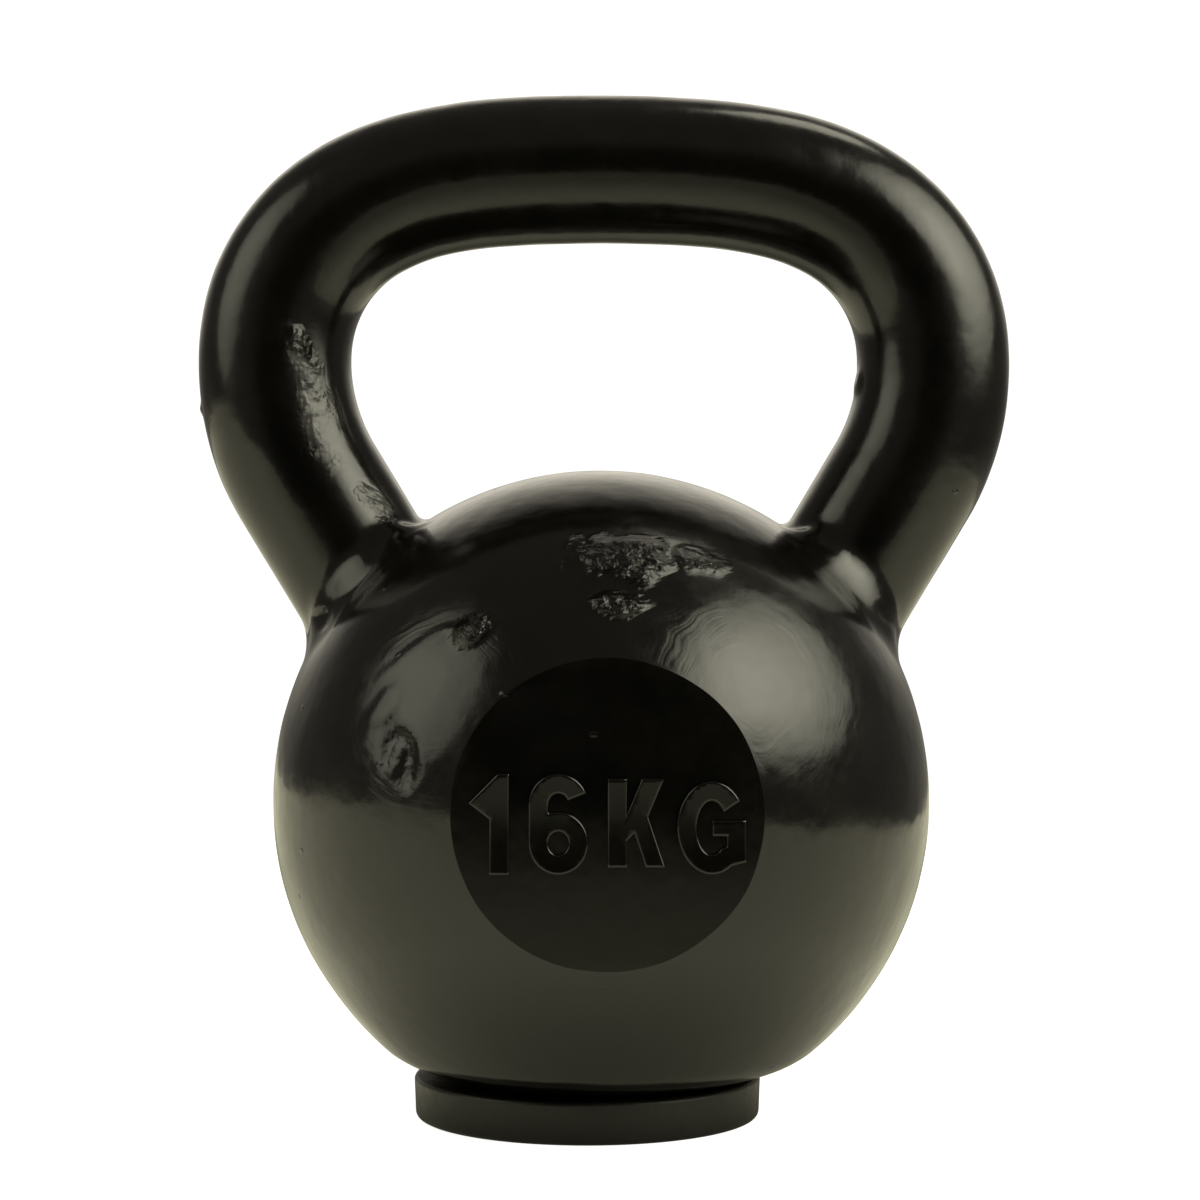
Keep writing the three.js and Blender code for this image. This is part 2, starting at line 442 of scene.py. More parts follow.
def mottle_group() -> bpy.types.NodeTree:
    """The group of slow cloudy variation that every finish uses."""
    finer, broad_share, low, high = 5.3, 0.7, 0.3, 0.7

    def fill(sheet: NodeSheet, entry: bpy.types.Node) -> Socket:
        """Draws broad clouds broken by finer ones."""
        vector, scale = entry.outputs["Vector"], entry.outputs["Scale"]
        broad = sheet.noise(vector, scale, 3.0)
        fine = sheet.noise(vector, sheet.maths("MULTIPLY", scale, finer))
        both = sheet.maths(
            "ADD",
            sheet.maths("MULTIPLY", broad, broad_share),
            sheet.maths("MULTIPLY", fine, 1.0 - broad_share),
        )
        return sheet.span(both, low, high, 0.0, 1.0)

    return node_group("cloudy_variation", {"Vector": None, "Scale": 40.0}, "Cloud", fill)


def grain_group() -> bpy.types.NodeTree:
    """The group of fine surface grain, as heights, that casting and rubber use."""
    pit_floor, pit_edge = 0.04, 0.22

    def fill(sheet: NodeSheet, entry: bpy.types.Node) -> Socket:
        """Adds soft peel, grit and sparse pits."""
        vector = entry.outputs["Vector"]
        cells = sheet.node("TexVoronoi", Vector=vector, Scale=entry.outputs["Pit Scale"])
        heights = {
            "Peel": sheet.noise(vector, entry.outputs["Peel Scale"], 1.5),
            "Grit": sheet.noise(vector, entry.outputs["Grit Scale"], 4.0),
            "Pits": sheet.span(cells.outputs["Distance"], pit_floor, pit_edge, -1.0, 0.0),
        }
        parts = [sheet.maths("MULTIPLY", part, entry.outputs[n]) for n, part in heights.items()]
        return sheet.maths("ADD", *parts)

    return node_group(
        "surface_grain",
        {
            "Vector": None,
            "Peel Scale": 150.0,
            "Grit Scale": 900.0,
            "Pit Scale": 120.0,
            "Peel": 1.0,
            "Grit": 0.3,
            "Pits": 0.0,
        },
        "Height",
        fill,
    )


def new_material(name: str) -> tuple[bpy.types.Material, NodeSheet, Socket]:
    """Starts a node material.

    Args:
        name: Name of the material.

    Returns:
        The material, the sheet of its emptied node tree, and its Object coordinates.
    """
    material = bpy.data.materials.new(name)
    material.use_nodes = True
    sheet = NodeSheet(material.node_tree)
    return material, sheet, sheet.node("TexCoord").outputs["Object"]


def clouds(sheet: NodeSheet, place: Socket, scale: float) -> Socket:
    """Places the cloudy variation in a material and returns it."""
    made = sheet.node("Group", {"node_tree": mottle_group()}, Vector=place, Scale=scale)
    return made.outputs["Cloud"]


@dataclass(frozen=True)
class Grain:
    """One finish's grain: repeats per metre and height of its peel, grit and pits."""

    peel_scale: float
    grit_scale: float
    pit_scale: float
    peel: float
    grit: float
    pits: float

    def height(self, sheet: NodeSheet, place: Socket) -> Socket:
        """Places the grain in a material and returns its height."""
        return sheet.node(
            "Group",
            {"node_tree": grain_group()},
            Vector=place,
            Peel_Scale=self.peel_scale,
            Grit_Scale=self.grit_scale,
            Pit_Scale=self.pit_scale,
            Peel=self.peel,
            Grit=self.grit,
            Pits=self.pits,
        ).outputs["Height"]


@dataclass(frozen=True)
class GlossEnamel:
    """Thick black enamel over a sand casting: it follows every lump and fills the finest grain."""

    dark: Colour = (0.0022, 0.0022, 0.0018, 1.0)
    brown: Colour = (0.0038, 0.0035, 0.0026, 1.0)
    colour_scale: float = 28.0
    sheen_scale: float = 75.0
    roughness: Span = (0.14, 0.22)
    scab_roughness: float = 0.05
    handled_roughness: float = 0.025
    coat: float = 0.22
    coat_roughness: float = 0.08
    bump_distance: float = 0.00022
    grain: Grain = Grain(170.0, 1400.0, 95.0, 0.55, 0.06, 0.12)
    broken: Grain = Grain(330.0, 760.0, 360.0, 10.0, 2.2, 1.6)
    grain_middle: float = 0.4
    drag_turn: Place = (0.25, 0.5, 0.9)
    drag_stretch: Place = (1.0, 0.35, 0.22)
    drag_scale: float = 420.0
    drag_height: float = 0.12
    flat_edge: Span = (0.0696, 0.0701)
    flat_calm: float = 0.35
    swirls: tuple[Place, ...] = ((0.031, -0.066, 0.1015), (-0.036, -0.063, 0.098))
    ring_height: float = 0.62
    ring_scale: float = 640.0
    ring_start: Span = (0.008, 0.018)
    ring_end: Span = (0.024, 0.036)
    ring_middle: float = 0.3
    wander: float = 0.014
    wander_scale: float = 46.0
    gap_scale: float = 60.0
    gap_span: Span = (0.48, 0.64)
    gap_height: float = 0.15
    speck_stretch: Place = (0.55, 1.0, 1.0)
    speck_scale: float = 85.0
    speck_choice: Span = (0.62, 0.68)
    speck_radius: float = 0.075
    speck_height: float = 1.3

    def ripple(self, sheet: NodeSheet, place: Socket, centre: Place) -> Socket:
        """Draws the broken rings that dipping leaves round a thick spot of the enamel.

        Args:
            sheet: The material's sheet.
            place: Object coordinates.
            centre: Middle of the rings in metres.

        Returns:
            The rings' height, from -0.5 to 0.5.
        """
        distance = sheet.distance(place, centre)
        wander = sheet.maths("MULTIPLY", sheet.noise(place, self.wander_scale), self.wander)
        spread = sheet.node("CombineXYZ", X=sheet.maths("ADD", distance, wander))
        ring = sheet.maths("SUBTRACT", sheet.noise(spread.outputs[0], self.ring_scale, 1.5), 0.5)
        inner = sheet.span(distance, *self.ring_start, self.ring_middle, 1.0)
        outer = sheet.span(distance, *self.ring_end, 1.0, 0.0)
        gaps = sheet.span(sheet.noise(place, self.gap_scale), *self.gap_span, self.gap_height, 1.0)
        return sheet.maths("MULTIPLY", ring, inner, outer, gaps)

    def specks(self, sheet: NodeSheet, place: Socket) -> Socket:
        """Scatters grains of sand that the enamel has covered, and returns their height."""
        longer = sheet.node("Mapping", Vector=place, Scale=self.speck_stretch)
        cells = sheet.node("TexVoronoi", Vector=longer.outputs["Vector"], Scale=self.speck_scale)
        chosen = sheet.node("SeparateColor", Color=cells.outputs["Color"]).outputs[0]
        kept = sheet.span(chosen, *self.speck_choice, 0.0, 1.0)
        away = cells.outputs["Distance"]
        bead = sheet.span(away, 0.0, self.speck_radius, self.speck_height, 0.0)
        return sheet.maths("MULTIPLY", bead, kept)

    def relief(self, sheet: NodeSheet, place: Socket, scab: Socket) -> Socket:
        """Adds up everything that the light catches on the enamel.

        Args:
            sheet: The material's sheet.
            place: Object coordinates.
            scab: How broken the casting's skin is, from 0 to 1.

        Returns:
            The height for the bump. The flats are calmer and have no rings.
        """
        split = sheet.node("SeparateXYZ", Vector=place)
        depth = sheet.maths("ABSOLUTE", split.outputs["Y"], 0.0)
        calm = sheet.span(depth, *self.flat_edge, 1.0, self.flat_calm)
        curved = sheet.span(depth, *self.flat_edge, self.ring_height, 0.0)
        drawn = sheet.node(
            "Mapping", Vector=place, Rotation=self.drag_turn, Scale=self.drag_stretch
        )
        drags = sheet.noise(drawn.outputs["Vector"], self.drag_scale)
        drags = sheet.maths("MULTIPLY", drags, self.drag_height)
        skin = sheet.maths("ADD", self.grain.height(sheet, place), drags)
        skin = sheet.maths("MULTIPLY", sheet.maths("SUBTRACT", skin, self.grain_middle), calm)
        rings = sheet.maths("ADD", *(self.ripple(sheet, place, swirl) for swirl in self.swirls))
        rings = sheet.maths("MULTIPLY", rings, curved)
        broken = sheet.maths("MULTIPLY", self.broken.height(sheet, place), scab)
        return sheet.maths("ADD", skin, rings, broken, self.specks(sheet, place))

    def material(self) -> bpy.types.Material:
        """Builds the enamel's material."""
        material, sheet, place = new_material("gloss_black_enamel")
        scab, handled = sheet.attribute("scab"), sheet.attribute("handled")
        rough = sheet.maths(
            "ADD",
            sheet.span(clouds(sheet, place, self.sheen_scale), 0.0, 1.0, *self.roughness),
            sheet.maths("MULTIPLY", scab, self.scab_roughness),
            sheet.maths("MULTIPLY", handled, self.handled_roughness),
        )
        height = self.relief(sheet, place, scab)
        bump = sheet.node("Bump", Strength=1.0, Distance=self.bump_distance, Height=height)
        shader = sheet.node(
            "BsdfPrincipled",
            Base_Color=sheet.blend(clouds(sheet, place, self.colour_scale), self.dark, self.brown),
            Roughness=rough,
            IOR=1.5,
            Normal=bump.outputs["Normal"],
            Coat_Weight=self.coat,
            Coat_Roughness=self.coat_roughness,
        )
        sheet.node("OutputMaterial", Surface=shader.outputs[0])
        return material


@dataclass(frozen=True)
class MouldedRubber:
    """Dense black rubber with a fine moulded skin and a little dust."""

    black: Colour = (0.0045, 0.0043, 0.0036, 1.0)
    dusty: Colour = (0.0095, 0.0090, 0.0074, 1.0)
    dust_scale: float = 60.0
    roughness: Span = (0.33, 0.47)
    bump_distance: float = 0.00012
    grain: Grain = Grain(380.0, 2400.0, 260.0, 0.35, 0.5, 0.25)

    def material(self) -> bpy.types.Material:
        """Builds the rubber's material."""
        material, sheet, place = new_material("moulded_black_rubber")
        dust = clouds(sheet, place, self.dust_scale)
        grain = self.grain.height(sheet, place)
        bump = sheet.node("Bump", Strength=1.0, Distance=self.bump_distance, Height=grain)
        shader = sheet.node(
            "BsdfPrincipled",
            Base_Color=sheet.blend(dust, self.black, self.dusty),
            Roughness=sheet.span(dust, 0.0, 1.0, *self.roughness),
            Normal=bump.outputs["Normal"],
        )
        sheet.node("OutputMaterial", Surface=shader.outputs[0])
        return material


@dataclass(frozen=True)
class ZincPlate:
    """Bright zinc plating with turning marks and a few dull patches."""

    name: str
    bright: Colour = (0.60, 0.61, 0.62, 1.0)
    dull: Colour = (0.38, 0.37, 0.35, 1.0)
    dull_scale: float = 220.0
    roughness: Span = (0.24, 0.42)
    mark_scale: float = 900.0
    mark_wobble: float = 1.2
    bump_strength: float = 0.4
    bump_distance: float = 0.00003
    axis_x: float = FOOT_X

    def material(self) -> bpy.types.Material:
        """Builds the plating's material."""
        material, sheet, place = new_material(self.name)
        centred = sheet.node("Mapping", Vector=place, Location=(-self.axis_x * MM, 0.0, 0.0))
        patches = clouds(sheet, place, self.dull_scale)
        marks = sheet.node(
            "TexWave",
            {"wave_type": "RINGS", "rings_direction": "Z"},
            Vector=centred.outputs["Vector"],
            Scale=self.mark_scale,
            Distortion=self.mark_wobble,
        )
        bump = sheet.node(
            "Bump",
            Strength=self.bump_strength,
            Distance=self.bump_distance,
            Height=marks.outputs["Fac"],
        )
        shader = sheet.node(
            "BsdfPrincipled",
            Base_Color=sheet.blend(patches, self.bright, self.dull),
            Roughness=sheet.span(patches, 0.0, 1.0, *self.roughness),
            Metallic=1.0,
            Normal=bump.outputs["Normal"],
        )
        sheet.node("OutputMaterial", Surface=shader.outputs[0])
        return material


# ---- the casting --------------------------------------------------------------------------------
@dataclass(frozen=True)
class Arc:
    """A stretch of the handle's centre line: a radius in millimetres and a sweep in degrees."""

    radius: float
    sweep: float

    @property
    def turn(self) -> float:
        """The sweep in radians."""
        return math.radians(self.sweep)


@dataclass(frozen=True)
class HandleLine:
    """The handle's centre line and thickness, in millimetres about the ball's centre."""

    bar_rise: float = 150.2
    shift: float = 1.0
    arcs: tuple[Arc, ...] = (
        Arc(326.0, 4.5),
        Arc(118.0, 7.8),
        Arc(59.0, 17.0),
        Arc(41.0, 56.8),
        Arc(57.0, 35.0),
    )
    leg_length: float = 34.0
    grip_radius: float = 17.5
    leg_radius: float = 18.2
    swell_start: float = 40.0
    swell_end: float = 105.0

    def half_length(self) -> float:
        """Length from the middle of the bar to the end of a leg."""
        return sum(arc.radius * arc.turn for arc in self.arcs) + self.leg_length

    def at(self, distance: float) -> tuple[Vector, float]:
        """Follows the right half of the line.

        Args:
            distance: How far out from the middle of the bar.

        Returns:
            The point, as (x, z), and the heading below +X in radians.
        """
        point, heading, left = Vector((0.0, self.bar_rise)), 0.0, distance
        for arc in self.arcs:
            turn = min(left / arc.radius, arc.turn)
            centre = point - arc.radius * Vector((math.sin(heading), math.cos(heading)))
            heading += turn
            point = centre + arc.radius * Vector((math.sin(heading), math.cos(heading)))
            left -= turn * arc.radius
        return point + left * Vector((math.cos(heading), -math.sin(heading))), heading

    def thickness(self, along: np.ndarray) -> np.ndarray:
        """The handle's radius at distances along the line."""
        swell = smoothstep(self.swell_start, self.swell_end, along)
        return self.grip_radius + (self.leg_radius - self.grip_radius) * swell

    def distance(self, points: np.ndarray) -> tuple[np.ndarray, np.ndarray]:
        """Measures points against the handle's surface.

        Args:
            points: One row per point.

        Returns:
            The distance outside the surface, and the distance along the line, of each point.
        """
        flat = np.stack([np.abs(points[:, 0] - self.shift), points[:, 2]], axis=1)
        nearest = np.full(len(points), np.inf)
        along = np.zeros(len(points))
        start, heading, travelled = np.array([0.0, self.bar_rise]), 0.0, 0.0
        for arc in self.arcs:
            centre = start - arc.radius * np.array([math.sin(heading), math.cos(heading)])
            spoke = flat - centre
            angle = np.clip(np.arctan2(spoke[:, 0], spoke[:, 1]), heading, heading + arc.turn)
            foot = centre + arc.radius * np.stack([np.sin(angle), np.cos(angle)], axis=1)
            gap = np.linalg.norm(flat - foot, axis=1)
            closer = gap < nearest
            nearest[closer] = gap[closer]
            along[closer] = (travelled + arc.radius * (angle - heading))[closer]
            heading += arc.turn
            travelled += arc.radius * arc.turn
            start = centre + arc.radius * np.array([math.sin(heading), math.cos(heading)])
        direction = np.array([math.cos(heading), -math.sin(heading)])
        down = np.clip((flat - start) @ direction, 0.0, self.leg_length)
        gap = np.linalg.norm(flat - start - down[:, None] * direction, axis=1)
        closer = gap < nearest
        nearest[closer] = gap[closer]
        along[closer] = (travelled + down)[closer]
        return np.hypot(nearest, points[:, 1]) - self.thickness(along), along


@dataclass(frozen=True)
class Blemish:
    """A lump, dent or rough patch of the casting's skin.

    Sizes are in millimetres about the ball's centre. The patch is an ellipsoid of the given reach
    along its own long, cross and depth directions, and height is how far the skin moves out.
    """

    place: Place
    reach: Place
    height: float
    tilt: float
    scab: float
    ragged: float
    whole_until: float = 0.35
    rag_limit: float = 1.6
    rag_length: float = 5.0

    def weight(self, points: np.ndarray) -> np.ndarray:
        """How strongly the patch acts at each point, from 0 to 1.

        Args:
            points: One row per point.

        Returns:
            The weights.
        """
        turn = math.radians(self.tilt)
        offset = points - np.array(self.place)
        along = offset[:, 0] * math.cos(turn) + offset[:, 2] * math.sin(turn)
        across = offset[:, 2] * math.cos(turn) - offset[:, 0] * math.sin(turn)
        scaled = np.stack([along, across, offset[:, 1]], axis=1) / np.array(self.reach)
        away = np.linalg.norm(scaled, axis=1)
        near = away < self.rag_limit
        away[near] += self.ragged * lumps(points[near], self.rag_length)
        return 1.0 - smoothstep(self.whole_until, 1.0, away)


@dataclass
class Casting:
    """The ball, handle and flats, cast in one piece of iron."""

    ball_radius: float = 77.6
    ball_height: float = BALL_HEIGHT
    base_height: float = 9.9
    flat_offset: float = FLAT_DISTANCE
    fillet_inner: float = 3.0
    fillet_outer: float = 5.5
    fillet_front: float = 9.0
    root_span: Span = (66.0, 40.0)
    front_span: Span = (8.0, 16.0)
    rim_round: float = 7.0
    rim_below: float = 0.3
    hole_radius: float = SCREW_HOLE
    hole_depth: float = 20.0
    hole_point: float = 0.6
    hole_x: float = FOOT_X
    hole_sides: int = 48
    skin_step: float = 1.25
    smooth_passes: int = 3
    settle_passes: int = 4
    handled_span: Span = (2.0, 30.0)
    waves: tuple[Span, ...] = ((31.0, 0.20), (13.0, 0.075), (5.5, 0.028))
    crumb_length: float = 2.6
    crumb_height: float = 0.25
    crumb_least: float = 0.02
    line: HandleLine = field(default_factory=HandleLine)
    blemishes: tuple[Blemish, ...] = (
        # broken skin on the crown, left by the mould's joint
        Blemish((4.0, -54.0, 54.5), (14.0, 6.5, 20.0), 0.3, -8.0, 1.0, 0.5),
        Blemish((20.0, -52.0, 54.0), (9.0, 4.0, 20.0), 0.2, -10.0, 0.35, 0.4),
        Blemish((1.0, -63.5, 44.5), (8.0, 2.8, 14.0), 0.25, -4.0, 1.0, 0.5),
        # dent with a hard edge, a tongue of iron in it, and the lumps round it
        Blemish((-44.0, -62.5, 12.5), (4.7, 9.6, 14.0), -1.0, 18.0, 0.2, 0.2),
        Blemish((-45.2, -62.5, 11.5), (2.1, 5.0, 12.0), 0.5, -10.0, 0.0, 0.2),
        Blemish((-48.0, -58.0, 22.0), (9.0, 3.0, 14.0), 0.3, 50.0, 0.0, 0.3),
        Blemish((-29.0, -60.5, 39.0), (5.8, 3.6, 14.0), 0.7, 15.0, 1.0, 0.4),
        Blemish((-40.0, -56.0, 35.0), (12.0, 2.2, 14.0), 0.22, 35.0, 0.0, 0.3),
        # the left leg's root
        Blemish((-57.0, -16.0, 53.0), (8.0, 3.6, 14.0), 0.5, 42.0, 0.0, 0.1),
        Blemish((-65.0, -16.0, 42.0), (3.6, 3.0, 12.0), -0.7, 40.0, 0.1, 0.2),
        Blemish((-52.5, -17.0, 69.0), (3.0, 6.5, 10.0), -0.6, 35.0, 0.45, 0.6),
        # peeled skin on the inside of the left leg
        Blemish((-66.5, -17.0, 93.0), (4.4, 19.0, 10.0), -0.3, 15.0, 0.3, 0.9),
        Blemish((-70.0, -17.0, 106.0), (3.4, 5.0, 10.0), -0.25, 15.0, 0.9, 0.6),
        # the right leg's root
        Blemish((51.5, -19.0, 54.5), (6.5, 4.5, 12.0), 0.55, 25.0, 0.0, 0.1),
        Blemish((66.0, -14.0, 43.0), (5.0, 1.8, 14.0), -0.4, -40.0, 0.0, 0.1),
        # flash left on the silhouettes
        Blemish((-96.5, 0.0, 92.0), (2.5, 2.5, 6.0), 0.7, 0.0, 0.2, 0.2),
        Blemish((60.5, -2.0, 99.0), (3.0, 4.0, 6.0), 0.5, 0.0, 0.2, 0.2),
    )

    def surface(self, points: np.ndarray) -> np.ndarray:
        """Distance of points outside the ideal skin: ball and handle, blended at the roots.

        Args:
            points: One row per point, in millimetres about the ball's centre.

        Returns:
            The distances in millimetres.
        """
        ball = np.linalg.norm(points, axis=1) - self.ball_radius
        handle, _ = self.line.distance(points)
        low = smoothstep(*self.root_span, points[:, 2])
        fillet = self.fillet_inner + (self.fillet_outer - self.fillet_inner) * low
        facing = smoothstep(*self.front_span, np.abs(points[:, 1]))
        fillet += (self.fillet_front - fillet) * facing
        inside = np.hypot(np.maximum(fillet - ball, 0.0), np.maximum(fillet - handle, 0.0))
        skin = np.maximum(fillet, np.minimum(ball, handle)) - inside
        below = self.base_height - self.ball_height - self.rim_below - points[:, 2]
        corner = np.hypot(
            np.maximum(skin + self.rim_round, 0.0), np.maximum(below + self.rim_round, 0.0)
        )
        return np.minimum(np.maximum(skin, below), -self.rim_round) + corner

    def outward(self, points: np.ndarray, step: float = 0.05) -> np.ndarray:
        """Unit vectors that point straight out of the ideal skin.

        Args:
            points: One row per point, near the skin.
            step: Distance over which the slope is taken.

        Returns:
            One unit vector per point.
        """
        slope = np.empty_like(points)
        for axis in range(3):
            shift = np.zeros(3)
            shift[axis] = step
            slope[:, axis] = self.surface(points + shift) - self.surface(points - shift)
        return slope / np.maximum(np.linalg.norm(slope, axis=1, keepdims=True), 1e-9)

    def rough_solid(self) -> bpy.types.Object:
        """Makes ball and handle as crossing shells and fuses them into one even skin.

        Returns:
            The fused object, in metres about the ball's centre.
        """
        bm = bmesh.new()
        bmesh.ops.create_icosphere(bm, subdivisions=6, radius=self.ball_radius * MM)
        self.add_handle(bm)
        rough = make_object("kettlebell_casting", bm)
        remesh = rough.modifiers.new("skin", "REMESH")
        remesh.mode = "VOXEL"
        remesh.voxel_size = self.skin_step * MM
        graph = bpy.context.evaluated_depsgraph_get()
        fused = bpy.data.meshes.new_from_object(rough.evaluated_get(graph))
        crossing = rough.data
        rough.modifiers.clear()
        rough.data = fused
        bpy.data.meshes.remove(crossing)
        return rough

    def add_handle(self, bm: BMesh, sides: int = 48, rows: int = 120) -> None:
        """Extrudes a ring along the handle's centre line.

        Args:
            bm: The bmesh to add to.
            sides: Facets round the handle.
            rows: Steps from leg end to leg end.
        """
        half = self.line.half_length()
        placed = Matrix.Identity(4)
        verts, edges = add_circle(bm, sides, MM, placed, capped=True)
        for row in range(rows + 1):
            along = half * (2.0 * row / rows - 1.0)
            point, heading = self.line.at(abs(along))
            side = math.copysign(1.0, along)
            radius = float(self.line.thickness(np.array([abs(along)]))[0])
            target = (
                Matrix.Translation(((self.line.shift + side * point.x) * MM, 0.0, point.y * MM))
                @ Matrix.Rotation(side * heading + math.pi / 2.0, 4, "Y")
                @ Matrix.Scale(radius, 4)
            )
            if row:
                verts, edges = extrude_ring(bm, edges)
            bmesh.ops.transform(bm, matrix=target @ placed.inverted(), verts=verts)
            placed = target
        bmesh.ops.contextual_create(bm, geom=edges)

    def settle(self, mesh: bpy.types.Mesh) -> None:
        """Evens the fused skin out and lays it exactly on the ideal one, then adds the lumps.

        Args:
            mesh: The fused mesh, in metres about the ball's centre.
        """
        axes = {f"use_axis_{axis}": True for axis in "xyz"}
        with editing(mesh) as bm:
            for _ in range(self.smooth_passes):
                bmesh.ops.smooth_vert(bm, verts=bm.verts, factor=0.5, **axes)
        flat = np.empty(len(mesh.vertices) * 3)
        mesh.vertices.foreach_get("co", flat)
        points = flat.reshape(-1, 3) / MM
        for _ in range(self.settle_passes):
            points -= self.surface(points)[:, None] * self.outward(points)
        lift, scab = self.skin_relief(points)
        points += lift[:, None] * self.outward(points)
        mesh.vertices.foreach_set("co", (points * MM).reshape(-1))
        mesh.update()
        off_ball = np.linalg.norm(points, axis=1) - self.ball_radius
        handled = smoothstep(*self.handled_span, off_ball)
        for name, values in (("scab", scab), ("handled", handled)):
            mesh.attributes.new(name, "FLOAT", "POINT").data.foreach_set("value", values)

    def skin_relief(self, points: np.ndarray) -> tuple[np.ndarray, np.ndarray]:
        """The lumps of the sand-cast skin.

        Args:
            points: One row per point, in millimetres about the ball's centre.

        Returns:
            How far each point moves out, and how broken the skin is there, from 0 to 1.
        """
        lift = np.zeros(len(points))
        for length, height in self.waves:
            lift += height * lumps(points, length)
        scab = np.zeros(len(points))
        for blemish in self.blemishes:
            weight = blemish.weight(points)
            lift += blemish.height * weight
            scab = np.maximum(scab, blemish.scab * weight)
        rough = scab > self.crumb_least
        crumbs = lumps(points[rough], self.crumb_length)
        lift[rough] += self.crumb_height * crumbs * scab[rough]
        return lift, scab

    def cut(self, bm: BMesh, place: Vector, facing: Vector) -> list:
        """Cuts everything beyond a plane away and closes the cut with a hard-edged face.

        Args:
            bm: The casting.
            place: A point on the plane.
            facing: The plane's outward direction.

        Returns:
            The edges round the cut.
        """
        cut = bmesh.ops.bisect_plane(
            bm,
            geom=everything(bm),
            dist=CUT_TOLERANCE,
            plane_co=place,
            plane_no=facing,
            clear_outer=True,
        )["geom_cut"]
        rim = [g for g in cut if isinstance(g, bmesh.types.BMEdge) and g.is_boundary]
        bmesh.ops.contextual_create(bm, geom=rim)
        for edge in rim:
            edge.smooth = False
        return rim

    def cut_base(self, bm: BMesh) -> None:
        """Cuts the flat underside and sinks the tapped hole into it.

        Args:
            bm: The casting, in metres about the ball's centre.
        """
        level = (self.base_height - self.ball_height) * MM
        rim = self.cut(bm, Vector((0.0, 0.0, level)), Vector((0.0, 0.0, -1.0)))
        lid = max(rim[0].link_faces, key=lambda face: len(face.verts))
        bmesh.ops.delete(bm, geom=[lid], context="FACES_ONLY")
        centre = Matrix.Translation((self.hole_x * MM, 0.0, level))
        _, mouth = add_circle(bm, self.hole_sides, self.hole_radius * MM, centre)
        bmesh.ops.triangle_fill(bm, use_beauty=True, use_dissolve=False, edges=rim + mouth)
        point = (self.hole_radius * self.hole_point, 0.02)
        sink_hole(bm, mouth, self.hole_x, ((self.hole_depth, 1.0), point))

    def build(self) -> bpy.types.Object:
        """Makes the finished casting.

        Returns:
            The casting, in the frame's own place.
        """
        made = self.rough_solid()
        self.settle(made.data)
        with editing(made.data) as bm:
            for face in bm.faces:
                face.smooth = True
            for side in FlatSide:
                facing = Vector((0.0, float(side.value), 0.0))
                self.cut(bm, facing * self.flat_offset * MM, facing)
            self.cut_base(bm)
            bmesh.ops.dissolve_degenerate(bm, dist=2.0 * MERGE_DISTANCE, edges=bm.edges)
            bmesh.ops.translate(bm, vec=(0.0, 0.0, self.ball_height * MM), verts=bm.verts)
            bmesh.ops.recalc_face_normals(bm, faces=bm.faces)
        return made


# ---- the weight mark ----------------------------------------------------------------------------
@dataclass(frozen=True)
class Glyph:
    """One character: outlines, its width, the gap after it and its lift off the baseline."""

    outlines: tuple[Outline, ...]
    width: float
    gap: float
    lift: float


